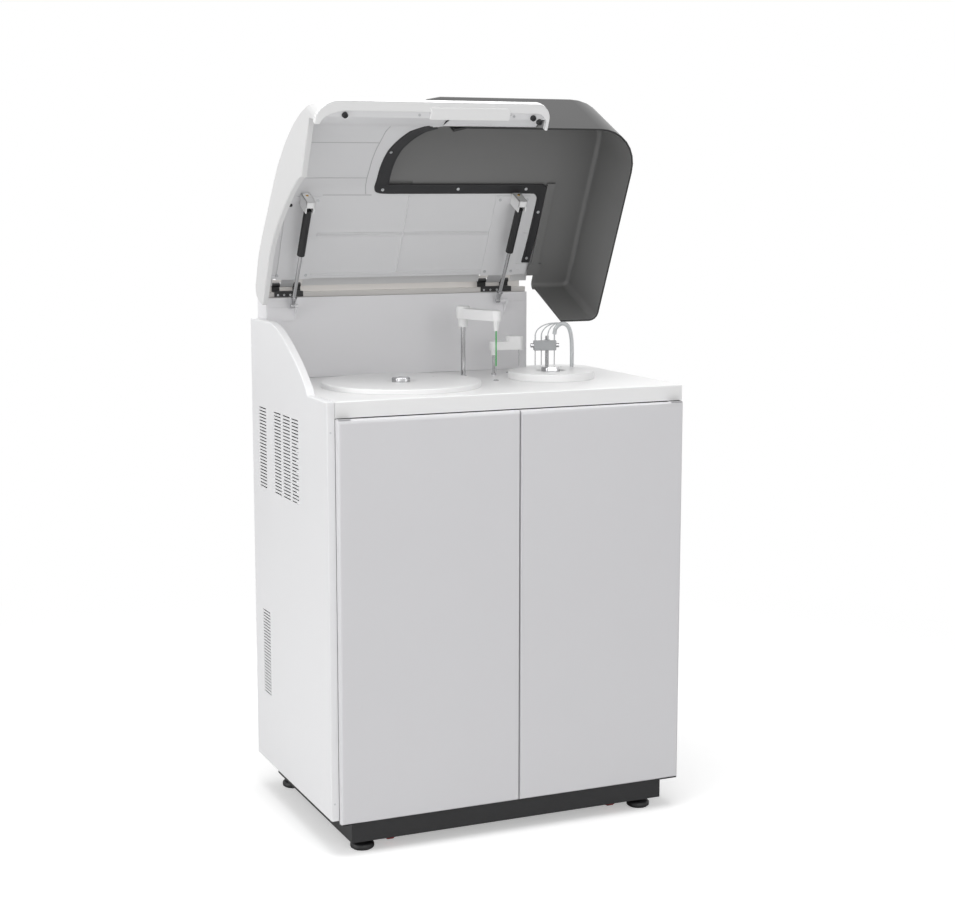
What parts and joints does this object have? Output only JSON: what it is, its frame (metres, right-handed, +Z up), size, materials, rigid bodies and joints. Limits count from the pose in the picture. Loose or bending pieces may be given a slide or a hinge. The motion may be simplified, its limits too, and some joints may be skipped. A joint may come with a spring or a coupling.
{
  "type": "chemistry analyzer",
  "caption": "Floor-standing clinical chemistry analyzer with reagent and reaction carousels, sampling and mixing arms, hinged lid with smoked hood, cabinet doors, casters and levelling feet.",
  "frame": {"origin": "centre of the bounding box at floor level, under the levelling feet", "axes": "+X to the machine's right as seen from the front, +Y to the back, +Z up; doors face -Y"},
  "size_m": [0.8, 0.524, 1.5377],
  "materials": {
    "paint_white": "semi-gloss powder coat",
    "paint_grey": "semi-gloss light grey powder coat",
    "paint_beige": "satin beige coat",
    "liner_grey": "fine matte vacuum-formed sheet",
    "mould_white": "smooth white moulding",
    "smoked_plastic": "glossy smoked dark grey",
    "seal_black": "matte black rubber",
    "frame_black": "satin black coat",
    "steel": "brushed stainless steel",
    "chrome": "polished chrome plate",
    "red_tyre": "moulded red polyurethane",
    "green_sleeve": "green sleeve",
    "hose_grey": "satin grey hose",
    "motor_black": "satin black housing",
    "galvanised": "zinc plated sheet"
  },
  "bodies": {
    "cabinet": {"base_plinth": "frame_black", "chassis_frame": "frame_black", "arm_drive_frame": "steel", "power_supply": "galvanised", "syringe_module": "liner_grey", "side_panel_left": "paint_white", "side_panel_right": "paint_white", "rear_panel": "paint_white", "deck_top": "mould_white", "wash_cups": "chrome", "well_back_wall": "paint_grey", "hinge_rail": "paint_beige", "reagent_tub": "steel", "reagent_motor": "motor_black", "reaction_bath": "steel", "reaction_motor": "motor_black", "reaction_cover": "mould_white", "wash_post": "chrome", "hose_arch": "hose_grey", "hinge_leaf_left": "frame_black", "hinge_leaf_right": "frame_black", "strut_bracket_left": "steel", "strut_bracket_right": "steel"},
    "door_left": {"door_left": "paint_grey"},
    "door_right": {"door_right": "paint_grey"},
    "lid": {"lid_shell": "mould_white", "lid_liner": "liner_grey", "smoked_hood": "smoked_plastic", "hood_gasket": "seal_black", "lid_handle": "paint_grey", "lid_bracket_left": "steel", "lid_bracket_right": "steel"},
    "strut_tube_left": {"strut_tube_left": "frame_black"},
    "strut_rod_left": {"strut_rod_left": "chrome"},
    "strut_tube_right": {"strut_tube_right": "frame_black"},
    "strut_rod_right": {"strut_rod_right": "chrome"},
    "reagent_carousel": {"reagent_turntable": "mould_white"},
    "reaction_carousel": {"cuvette_wheel": "mould_white"},
    "reagent_lid": {"reagent_cover": "mould_white"},
    "reagent_lid_knob": {"reagent_knob": "chrome"},
    "reaction_lid_knob": {"reaction_knob": "chrome"},
    "sample_mast": {"sample_post": "chrome"},
    "sample_head": {"sample_arm": "mould_white", "sample_probe": "green_sleeve"},
    "mixer_mast": {"mixer_post": "chrome"},
    "mixer_head": {"mixer_arm": "mould_white"},
    "wash_probes": {"wash_head": "mould_white"},
    "caster_front_left": {"caster_fork_front_left": "galvanised"},
    "wheel_front_left": {"caster_wheel_front_left": "red_tyre"},
    "caster_front_right": {"caster_fork_front_right": "galvanised"},
    "wheel_front_right": {"caster_wheel_front_right": "red_tyre"},
    "caster_rear_left": {"caster_fork_rear_left": "galvanised"},
    "wheel_rear_left": {"caster_wheel_rear_left": "red_tyre"},
    "caster_rear_right": {"caster_fork_rear_right": "galvanised"},
    "wheel_rear_right": {"caster_wheel_rear_right": "red_tyre"},
    "levelling_front_left": {"foot_front_left": "frame_black"},
    "levelling_front_right": {"foot_front_right": "frame_black"},
    "levelling_rear_left": {"foot_rear_left": "frame_black"},
    "levelling_rear_right": {"foot_rear_right": "frame_black"}
  },
  "joints": [
    {"name": "lid_hinge", "type": "hinge", "parent": "cabinet", "child": "lid", "pos_m": [0, 0.2276, 1.1377], "axis": [-1, 0, 0], "range_deg": [-64.4, 0]},
    {"name": "door_left_hinge", "type": "hinge", "parent": "cabinet", "child": "door_left", "pos_m": [-0.3744, -0.254, 0.07], "axis": [0, 0, 1], "range_deg": [-110, 0]},
    {"name": "door_right_hinge", "type": "hinge", "parent": "cabinet", "child": "door_right", "pos_m": [0.387, -0.254, 0.07], "axis": [0, 0, 1], "range_deg": [0, 110]},
    {"name": "strut_tilt_left", "type": "hinge", "parent": "lid", "child": "strut_tube_left", "pos_m": [-0.328, 0.06282, 1.31268], "axis": [-1, 0, 0], "range_deg": [-6.5, 0.5]},
    {"name": "strut_slide_left", "type": "slide", "parent": "strut_tube_left", "child": "strut_rod_left", "axis": [0, -0.4808, 0.8768], "range_m": [0, 0.065]},
    {"name": "strut_tilt_right", "type": "hinge", "parent": "lid", "child": "strut_tube_right", "pos_m": [0.162, 0.06282, 1.31268], "axis": [-1, 0, 0], "range_deg": [-6.5, 0.5]},
    {"name": "strut_slide_right", "type": "slide", "parent": "strut_tube_right", "child": "strut_rod_right", "axis": [0, -0.4808, 0.8768], "range_m": [0, 0.065]},
    {"name": "reagent_spin", "type": "hinge", "parent": "cabinet", "child": "reagent_carousel", "pos_m": [-0.1598, -0.0325, 0.8485], "axis": [0, 0, 1], "continuous": true},
    {"name": "reaction_spin", "type": "hinge", "parent": "cabinet", "child": "reaction_carousel", "pos_m": [0.2006, -0.0161, 0.891], "axis": [0, 0, 1], "continuous": true},
    {"name": "reagent_cover_lift", "type": "slide", "parent": "cabinet", "child": "reagent_lid", "axis": [0, 0, 1], "range_m": [0, 0.15]},
    {"name": "reagent_knob_turn", "type": "hinge", "parent": "reagent_lid", "child": "reagent_lid_knob", "pos_m": [-0.1598, -0.0325, 0.9407], "axis": [0, 0, 1], "continuous": true},
    {"name": "reaction_knob_turn", "type": "hinge", "parent": "cabinet", "child": "reaction_lid_knob", "pos_m": [0.2006, -0.0161, 0.9468], "axis": [0, 0, 1], "continuous": true},
    {"name": "sample_lift", "type": "slide", "parent": "cabinet", "child": "sample_mast", "axis": [0, 0, 1], "range_m": [-0.045, 0]},
    {"name": "sample_swing", "type": "hinge", "parent": "sample_mast", "child": "sample_head", "pos_m": [0.0333, 0.0843, 1.0445], "axis": [0, 0, 1], "range_deg": [-75.6, 42.24]},
    {"name": "mixer_lift", "type": "slide", "parent": "cabinet", "child": "mixer_mast", "axis": [0, 0, 1], "range_m": [-0.036, 0]},
    {"name": "mixer_swing", "type": "hinge", "parent": "mixer_mast", "child": "mixer_head", "pos_m": [0.1118, 0.0935, 0.9782], "axis": [0, 0, 1], "range_deg": [-35.96, 45]},
    {"name": "wash_lift", "type": "slide", "parent": "cabinet", "child": "wash_probes", "axis": [0, 0, 1], "range_m": [-0.034, 0]},
    {"name": "caster_swivel_front_left", "type": "hinge", "parent": "cabinet", "child": "caster_front_left", "pos_m": [-0.26, -0.185, 0.0669], "axis": [0, 0, 1], "continuous": true},
    {"name": "caster_roll_front_left", "type": "hinge", "parent": "caster_front_left", "child": "wheel_front_left", "pos_m": [-0.26, -0.203, 0.031], "axis": [1, 0, 0], "continuous": true},
    {"name": "caster_swivel_front_right", "type": "hinge", "parent": "cabinet", "child": "caster_front_right", "pos_m": [0.2555, -0.185, 0.0669], "axis": [0, 0, 1], "continuous": true},
    {"name": "caster_roll_front_right", "type": "hinge", "parent": "caster_front_right", "child": "wheel_front_right", "pos_m": [0.2555, -0.203, 0.031], "axis": [1, 0, 0], "continuous": true},
    {"name": "caster_swivel_rear_left", "type": "hinge", "parent": "cabinet", "child": "caster_rear_left", "pos_m": [-0.26, 0.185, 0.0669], "axis": [0, 0, 1], "continuous": true},
    {"name": "caster_roll_rear_left", "type": "hinge", "parent": "caster_rear_left", "child": "wheel_rear_left", "pos_m": [-0.26, 0.203, 0.031], "axis": [1, 0, 0], "continuous": true},
    {"name": "caster_swivel_rear_right", "type": "hinge", "parent": "cabinet", "child": "caster_rear_right", "pos_m": [0.2555, 0.185, 0.0669], "axis": [0, 0, 1], "continuous": true},
    {"name": "caster_roll_rear_right", "type": "hinge", "parent": "caster_rear_right", "child": "wheel_rear_right", "pos_m": [0.2555, 0.203, 0.031], "axis": [1, 0, 0], "continuous": true},
    {"name": "foot_turn_front_left", "type": "hinge", "parent": "cabinet", "child": "levelling_front_left", "pos_m": [-0.3228, -0.2134, 0], "axis": [0, 0, 1], "continuous": true},
    {"name": "foot_turn_front_right", "type": "hinge", "parent": "cabinet", "child": "levelling_front_right", "pos_m": [0.3233, -0.2143, 0], "axis": [0, 0, 1], "continuous": true},
    {"name": "foot_turn_rear_left", "type": "hinge", "parent": "cabinet", "child": "levelling_rear_left", "pos_m": [-0.3314, 0.2173, 0], "axis": [0, 0, 1], "continuous": true},
    {"name": "foot_turn_rear_right", "type": "hinge", "parent": "cabinet", "child": "levelling_rear_right", "pos_m": [0.3233, 0.217, 0], "axis": [0, 0, 1], "continuous": true}
  ],
  "couplings": [
    {"joint": "strut_tilt_left", "follows": "lid_hinge", "ratio": 0.08912},
    {"joint": "strut_slide_left", "follows": "lid_hinge", "m_per_rad": -0.056343},
    {"joint": "strut_tilt_right", "follows": "lid_hinge", "ratio": 0.08912},
    {"joint": "strut_slide_right", "follows": "lid_hinge", "m_per_rad": -0.056343}
  ]
}
